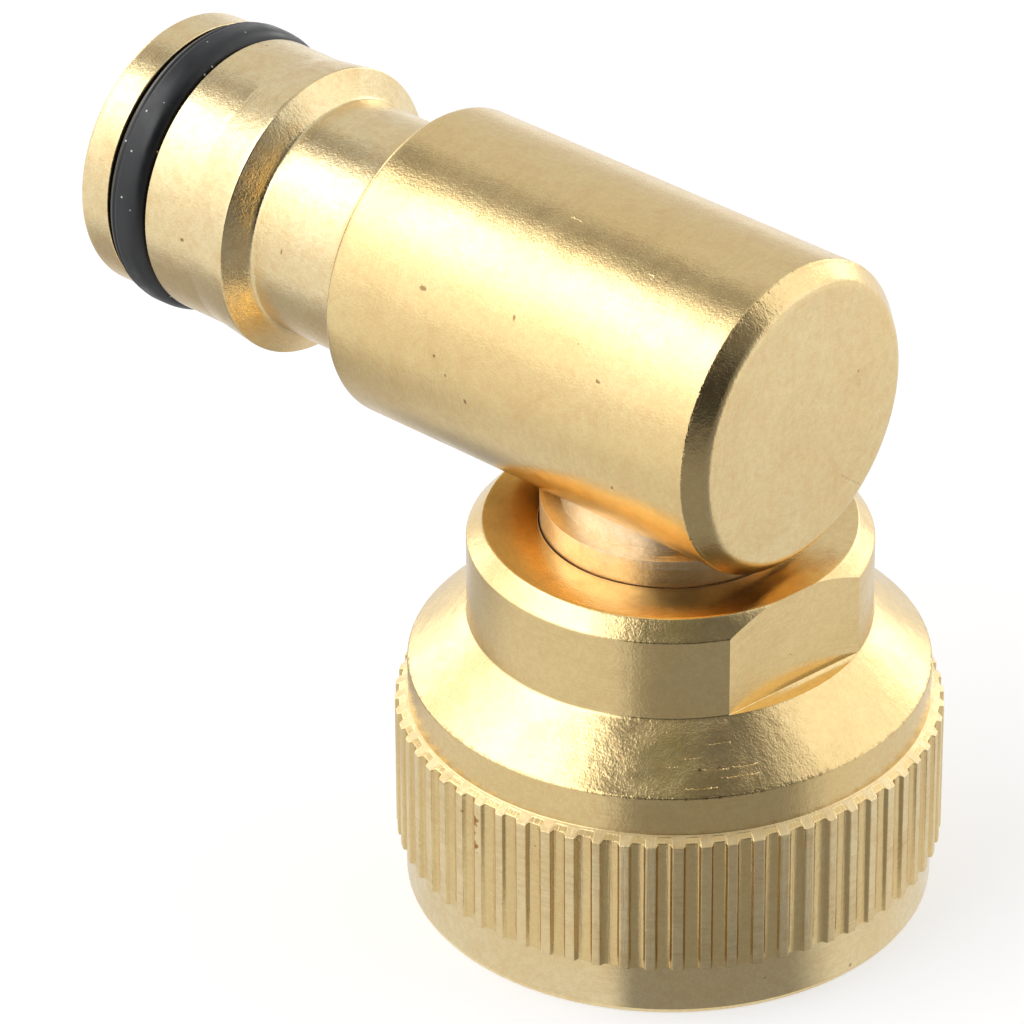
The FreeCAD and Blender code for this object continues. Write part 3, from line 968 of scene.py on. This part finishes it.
def build_elbow(sizes, stem):
    """The barrel and nipple turned in one piece, with the stem's port cut from below into the bore."""
    body = turned_piece("elbow_body_finished", elbow_corners(sizes), even_angles(ELBOW_STEPS),
                        closed=False, place=lambda points: lay_along_barrel(points, sizes.axis_height))
    below = sizes.axis_height - sizes.barrel_radius - MM
    port_top = stem.high + 0.3 * MM
    tool = turned_piece("port_cutter", [
        (0, below, 0),
        (sizes.spot_radius, below, 0),
        (sizes.spot_radius, stem.shoulder, 0),
        (sizes.port_radius, stem.shoulder, 0),
        (sizes.port_radius, port_top, 0),
        (sizes.passage_radius, port_top, 0),
        (sizes.passage_radius, sizes.axis_height, 0),
        (0, sizes.axis_height, 0),
    ], even_angles(PORT_STEPS), closed=False)
    cut_away(body, tool, ("elbow_turned", "elbow_port"))
    sharpen_borders(body)
    return body


def build_stem(sizes):
    """The hollow stem, whose lower bore widens to a hexagon: across / 2 / cos(angle from a flat's middle)."""
    fine = 0.05 * MM
    upper = NUT_HIGH.z - 2.0 * MM
    lower = upper - 3.0 * MM
    half = sizes.seal_width / 2
    flat = sizes.hex_across / 2
    corners = [
        (flat, sizes.low, fine),
        (sizes.flange_radius, sizes.low, fine),
        (sizes.flange_radius, sizes.flange_top, fine),
        (sizes.radius, sizes.flange_top, fine),
        *channel(sizes.radius, sizes.seal_floor, lower - half, lower + half, fine),
        *channel(sizes.radius, sizes.seal_floor, upper - half, upper + half, fine),
        (sizes.radius, sizes.shoulder, 0.015 * MM),
        (sizes.spigot_radius, sizes.shoulder, 0.02 * MM),
        (sizes.spigot_radius, sizes.high, 0.3 * MM),
        (sizes.bore_radius, sizes.high, fine),
        (sizes.bore_radius, sizes.low + sizes.hex_depth, fine),
        (flat, sizes.low + sizes.hex_depth, fine),
    ]
    angles = even_angles(STEM_STEPS)
    from_flat = (angles + math.pi / 6) % (math.pi / 3) - math.pi / 6
    widening = flat / np.cos(from_flat) - flat
    return turned_piece("swivel_stem_finished", corners, angles, ripple=widening,
                        slides={0: (1, 0), len(corners) - 1: (1, 0)})


def build_washer(name, inner, edge, steps):
    """A flat ring that fills its node's box down to an inner radius, with its edges rounded."""
    low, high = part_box(name)
    corners = [(inner, low.z, edge), (high.x, low.z, edge), (high.x, high.z, edge), (inner, high.z, edge)]
    return turned_piece(name + "_finished", corners, even_angles(steps))


# Marks of wear, as all_marks takes them
NUT_STAINS = (
    (-0.94, -14.97, 10.1, 0.34, 1.0, 1.0, 0.7),
    (-0.96, -14.97, 8.45, 0.3, 1.0, 1.0, 0.6),
    (-0.95, -14.97, 9.25, 0.16, 1.2, 1.0, 0.6),
)
NUT_SPECKS = (
    (9.66, -8.85, 14.87, 0.14),
    (12.2, -6.3, 14.6, 0.12),
    (8.15, -10.2, 15.5, 0.16, 0.8, 1.0, 1.0),
)
NUT_NICKS = (
    (10.2, -8.25, 14.86, 0.055, 0.07, 0.06, 1.0),
    (11.1, -6.9, 14.86, 0.05, 0.08, 0.055, 1.0),
    (9.96, -8.97, 14.2, 0.05, 0.05, 0.045, 1.0),
    (10.9, -7.1, 14.52, 0.045, 0.05, 0.04, 1.0),
    (8.62, -8.62, 15.3, 0.04, 0.05, 0.05, 1.0),
    (9.5, -6.9, 15.78, 0.035, 0.06, 0.05, 1.0),
    (8.1, -9.4, 15.0, 0.035, 0.05, 0.06, 1.0),
    (9.86, -1.73, 18.7, 0.09, 1.0, 0.5, 1.4),
)
ELBOW_SPECKS = (
    (-10.66, -7.83, 36.12, 0.24),
    (-4.45, -7.57, 36.58, 0.13, 1.3, 0.7, 0.45),
    (3.2, -8.53, 29.64, 0.14),
    (-28.36, -7.92, 32.38, 0.17),
    (-6.87, -8.79, 31.01, 0.12, 1.0, 1.0, 0.6),
    (1.89, -8.16, 35.43, 0.13, 0.6, 1.0, 1.0),
    (-9.06, -8.79, 32.99, 0.1),
    (-8.23, -8.85, 32.1, 0.1, 1.0, 1.0, 0.7),
    (-22.1, -6.6, 33.4, 0.13, 1.0, 1.0, 0.6),
    (-21.3, -6.4, 30.3, 0.1),
)
ELBOW_NICKS = (
    *((9.2, 3.2 + 0.22 * i, 27.3 - 0.18 * i, 0.09) for i in range(9)),
    (-4.32, -2.69, 40.43, 0.09, 0.2, 1.0, 1.0),
    (1.76, -3.96, 39.92, 0.1, 0.3, 0.5, 1.0),
)


class OBJECT_OT_connector_nut(bpy.types.Operator):
    """Build the coupling nut and its thread"""
    bl_idname = "connector.nut"
    bl_label = "Coupling Nut"

    def execute(self, context):
        sizes = context.scene.connector_nut
        nut = build_nut(sizes)
        turned = brass_material("nut_brass_turned", roughness=0.02, grain=0.8, wave=0.12, zones=nut_zones,
                                stains=NUT_STAINS, specks=NUT_SPECKS, nicks=NUT_NICKS)
        milled = brass_material("nut_brass_milled", marks=0.5, grain=0.25, nicks=NUT_NICKS[-1:])
        nut.data.materials.clear()
        dress(nut, "nut", ["coupling_nut"], [turned, milled])
        dress(build_thread(sizes), "nut",
              materials=[brass_material("nut_brass_thread", roughness=0.05)])
        return {"FINISHED"}


class OBJECT_OT_connector_elbow(bpy.types.Operator):
    """Build the elbow body with its barrel and nipple"""
    bl_idname = "connector.elbow"
    bl_label = "Elbow Body"

    def execute(self, context):
        elbow = build_elbow(context.scene.connector_elbow, context.scene.connector_stem)
        brass = brass_material("elbow_brass_turned", lay="barrel", marks=3.0, grain=1.05, tarnished=0.8,
                               zones=elbow_zones, specks=ELBOW_SPECKS, nicks=ELBOW_NICKS)
        port = brass_material("elbow_brass_port", roughness=0.1)
        elbow.data.materials.clear()
        dress(elbow, "elbow", ["elbow_body"], [brass, port])
        return {"FINISHED"}


class OBJECT_OT_connector_stem(bpy.types.Operator):
    """Build the hollow swivel stem"""
    bl_idname = "connector.stem"
    bl_label = "Swivel Stem"

    def execute(self, context):
        stem = build_stem(context.scene.connector_stem)
        brass = brass_material("stem_brass_turned", base=context.scene.connector_finish.stem_brass,
                               roughness=0.16, marks=9.0, spacing=0.24 * MM, stroke=1.2, grain=0.9)
        dress(stem, "elbow", ["swivel_stem"], [brass])
        return {"FINISHED"}


class OBJECT_OT_connector_seals(bpy.types.Operator):
    """Build the O-rings and washers"""
    bl_idname = "connector.seals"
    bl_label = "Seals"

    def execute(self, context):
        rubber = rubber_material("seal_rubber_moulded")
        low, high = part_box("nipple_o_ring")
        section = (high.x - low.x) / 2
        ring = ring_piece("nipple_o_ring_finished", high.z - AXIS_HEIGHT - section, section,
                          -(high.x + low.x) / 2, *RING_GRID, fullness=0.68, seam=0.11 * MM,
                          seam_turn=math.radians(17),
                          place=lambda points: lay_along_barrel(points, AXIS_HEIGHT))
        dress(ring, "elbow", ["nipple_o_ring"], [rubber])
        seal_radius = context.scene.connector_stem.seal_floor + 0.03 * MM
        for name in ("stem_o_ring_upper", "stem_o_ring_lower"):
            seal = build_washer(name, seal_radius, 0.4 * MM, SEAL_STEPS)
            dress(seal, "elbow", [name], [rubber])
        slip = build_washer("slip_washer", context.scene.connector_nut.bore_radius, 0.06 * MM, SEAL_STEPS)
        dress(slip, "elbow", ["slip_washer"], [plastic_material("slip_plastic_white")])
        washer = build_washer("sealing_washer", 8.2 * MM, 0.25 * MM, WASHER_STEPS)
        dress(washer, "nut", ["sealing_washer"],
              [rubber_material("washer_rubber_flat", roughness=0.15)])
        return {"FINISHED"}


# Patches of the room: azimuth and height, each as (low, high, soft) in degrees
ROOM_PATCHES = {
    "left": ((-120, -31, 7), (-6, 56, 6)),
    "right": ((72, 150, 6), (4, 56, 8)),
    "strip": ((128, 152, 6), (2, 22, 6)),
    "rear_strip": ((-154, -124, 6), (3, 22, 5)),
    "dark": ((-27, 62, 6), (-90, 72, 8)),
    "shade": ((-46, -20, 5), (53, 72, 4)),
    "spot": ((-156, -131, 8), (44, 80, 6)),
    "gleam": ((-10, 10, 3), (46, 70, 5)),
    "deep": ((-22, 36, 6), (-8, 37, 6)),
}
ROOM_TURN = math.radians(50)
DEEP_LEVEL = 0.04
GLEAM_LEVEL = 0.12
WHITE, BLACK = (1.0, 1.0, 1.0), (0.0, 0.0, 0.0)
GLEAM_COLOUR = (0.92, 1.0, 0.62)
BOUNCE_COLOUR = (0.5, 0.5, 0.5)


def build_room(studio):
    """A pale room with a large soft panel on each side of the camera, bright low strips beside and behind the
    object, and a darker side behind the camera with a black middle and a small gleam above it.

    Brightness depends only on the direction: its azimuth from the camera's side, positive to the right, and
    its height above the horizon, both in degrees.
    """
    world = bpy.context.scene.world or bpy.data.worlds.new("room")
    bpy.context.scene.world = world
    world.use_nodes = True
    nodes = Nodes(world.node_tree)
    direction = nodes.add("ShaderNodeTexCoord").outputs["Generated"]
    turned = nodes.add("ShaderNodeVectorRotate", {"Vector": direction, "Angle": ROOM_TURN},
                       rotation_type="Z_AXIS").outputs[0]
    x, y, z = nodes.split(turned)
    azimuth = nodes.maths("DEGREES", nodes.maths("ARCTAN2", y, x))
    height = nodes.maths("DEGREES", nodes.maths("ARCSINE", z))
    patch = {
        name: nodes.times(nodes.window(azimuth, *across), nodes.window(height, *up))
        for name, (across, up) in ROOM_PATCHES.items()
    }
    low_rise = nodes.range(height, -4, 26, 0.16, 0.34, False)
    high_rise = nodes.range(height, 24, 44, 0.0, 0.66, False)
    left = nodes.times(patch["left"], nodes.maths("ADD", low_rise, high_rise))
    front = nodes.range(height, 5, 50, 1.6 * studio.dark, studio.dark)
    front = nodes.maths("MULTIPLY_ADD", patch["deep"], nodes.maths("SUBTRACT", DEEP_LEVEL, front), front)
    light = nodes.total(studio.room, [
        (left, studio.key - studio.room),
        (patch["right"], studio.fill - studio.room),
        (patch["strip"], studio.strip - studio.fill),
        (patch["rear_strip"], studio.strip - studio.room),
        (patch["spot"], studio.spot - studio.room),
    ])
    light = nodes.cross(nodes.most(patch["dark"], patch["shade"]), light, front)
    background = world.node_tree.nodes["Background"]
    nodes.feed(background.inputs["Color"], nodes.mix(patch["gleam"], WHITE, GLEAM_COLOUR))
    nodes.feed(background.inputs["Strength"], nodes.total(light, [(patch["gleam"], GLEAM_LEVEL)]))


def level_square(name, half, height, material):
    """A level square about the nut's axis, as part of the studio."""
    corners = [[-half, -half, height], [half, -half, height], [half, half, height], [-half, half, height]]
    square = make_piece(name, np.array(corners), np.array([[0, 1, 2, 3]]))
    square.data.materials.append(material)
    return square


def build_floor(studio):
    """A plain pale floor, which the camera and the brass see a little paler than it lights the object."""
    material, nodes, shader = new_material("floor_white")
    path = nodes.add("ShaderNodeLightPath").outputs
    seen = nodes.most(path["Is Camera Ray"], nodes.most(path["Is Glossy Ray"], path["Is Transmission Ray"]))
    finish_shader(nodes, shader, nodes.mix(seen, studio.floor_colour, BOUNCE_COLOUR), 0.9)
    nodes.feed(shader.inputs["Emission Color"], WHITE)
    nodes.feed(shader.inputs["Emission Strength"], nodes.times(seen, 0.56))
    shader.inputs["Specular IOR Level"].default_value = 0
    level_square("floor", studio.floor_size, 0, material)


CARD_HEIGHT = 0.3 * MM
WEDGE_APEX = (5.4 * MM, -6.1 * MM)
# Painted shadows of the nipple and the barrel on the card, as darker rounds: centre, the radii where the
# shade starts and ends to fade, and its level
CARD_SHADES = (
    ((-52 * MM, -14 * MM), 8 * MM, 30 * MM, 0.55),
    ((-25 * MM, 1 * MM), 3 * MM, 14 * MM, 0.5),
)


def build_card(studio):
    """A pale card on the floor round the object, with a dark wedge in front, for the brass to reflect.

    Its brightness grows a little between 45 and 85 mm from the nut's axis, so that it is darker round the
    object's foot as a painted shadow, and falls in painted shadows under the nipple and the barrel. The wedge
    spreads from a point near the nut, between the bearings -73 and 13.5 degrees, with soft sides, and darkens
    with its distance. Past 190 mm only the wedge is left. Only reflections show the card, which glows with
    the floor's painted reflection.
    """
    material, nodes, shader = new_material("card_pale")
    here = nodes.here()
    x, y = nodes.split(here)[:2]

    def reach(centre):
        return nodes.length(nodes.vector("SUBTRACT", here, (*centre, CARD_HEIGHT)))

    bearing = nodes.maths("DEGREES", nodes.maths("ARCTAN2", nodes.maths("SUBTRACT", y, WEDGE_APEX[1]),
                                                 nodes.maths("SUBTRACT", x, WEDGE_APEX[0])))
    wedge = nodes.times(nodes.range(bearing, -80, -66), nodes.fall(bearing, 2.5, 24.5))
    out = reach((0, 0))
    # Painted shadow round the object's foot, then painted shadows of the nipple and the barrel
    pale = nodes.range(out, 45 * MM, 85 * MM, studio.card, studio.card + 0.17)
    for centre, near, far, level in CARD_SHADES:
        pale = nodes.times(pale, nodes.range(reach(centre), near, far, level, 1.0))
    dark = nodes.range(out, 60 * MM, 200 * MM, studio.card_dark, 0.65 * studio.card_dark)
    shown = nodes.most(wedge, nodes.fall(out, 110 * MM, 190 * MM))
    nodes.feed(shader.inputs["Base Color"], BLACK)
    nodes.feed(shader.inputs["Alpha"], shown)
    nodes.feed(shader.inputs["Emission Color"], nodes.mix(nodes.cross(wedge, pale, dark), BLACK, WHITE))
    shader.inputs["Emission Strength"].default_value = 1
    shader.inputs["Specular IOR Level"].default_value = 0
    card = level_square("reflection_card", studio.floor_size, CARD_HEIGHT, material)
    card.visible_camera = card.visible_diffuse = card.visible_shadow = False


def build_camera(studio):
    """The camera at the photograph's angle."""
    cos, sin = math.cos, math.sin
    azimuth, elevation, roll = studio.azimuth, studio.elevation, studio.roll
    back = Vector((sin(azimuth) * cos(elevation), -cos(azimuth) * cos(elevation), sin(elevation)))
    right = Vector((cos(azimuth), sin(azimuth), 0))
    up = back.cross(right)
    right, up = right * cos(roll) + up * sin(roll), up * cos(roll) - right * sin(roll)
    data = bpy.data.cameras.new("camera")
    data.lens, data.sensor_width = studio.focal_length, 36
    data.clip_start, data.clip_end = 0.01, 20
    camera = bpy.data.objects.new("camera", data)
    place = back * studio.distance - right * studio.shift_right + up * studio.shift_down
    camera.matrix_world = Matrix.Translation(place) @ Matrix((right, up, back)).transposed().to_4x4()
    bpy.context.scene.collection.objects.link(camera)
    bpy.context.scene.camera = camera


class OBJECT_OT_connector_studio(bpy.types.Operator):
    """Build the floor, the light and the camera"""
    bl_idname = "connector.studio"
    bl_label = "Studio"

    def execute(self, context):
        studio = context.scene.connector_studio
        build_camera(studio)
        build_floor(studio)
        build_card(studio)
        build_room(studio)
        context.scene.view_settings.view_transform = "Standard"
        return {"FINISHED"}


class VIEW3D_PT_connector(bpy.types.Panel):
    """Lists the connector's pieces"""
    bl_label = "Hose Connector"
    bl_idname = "VIEW3D_PT_connector"
    bl_space_type = "VIEW_3D"
    bl_region_type = "UI"
    bl_category = "Hose Connector"

    def draw(self, context):
        for operator in OPERATORS:
            self.layout.operator(operator.bl_idname)


GROUPS = {
    "connector_nut": ConnectorNutSizes,
    "connector_elbow": ConnectorElbowSizes,
    "connector_stem": ConnectorStemSizes,
    "connector_finish": ConnectorFinish,
    "connector_studio": ConnectorStudio,
}
OPERATORS = (
    OBJECT_OT_connector_studio,
    OBJECT_OT_connector_nut,
    OBJECT_OT_connector_stem,
    OBJECT_OT_connector_elbow,
    OBJECT_OT_connector_seals,
)


def register():
    """Registers the classes and the settings on the scene."""
    for name, group in GROUPS.items():
        bpy.utils.register_class(group)
        setattr(bpy.types.Scene, name, PointerProperty(type=group))
    for operator in OPERATORS:
        bpy.utils.register_class(operator)
    bpy.utils.register_class(VIEW3D_PT_connector)


def unregister():
    """Takes the classes and the settings away."""
    bpy.utils.unregister_class(VIEW3D_PT_connector)
    for operator in reversed(OPERATORS):
        bpy.utils.unregister_class(operator)
    for name, group in reversed(GROUPS.items()):
        delattr(bpy.types.Scene, name)
        bpy.utils.unregister_class(group)


def main():
    """Builds everything."""
    register()
    bpy.ops.connector.studio()
    bpy.ops.connector.nut()
    bpy.ops.connector.stem()
    bpy.ops.connector.elbow()
    bpy.ops.connector.seals()


if __name__ == "__main__":
    main()
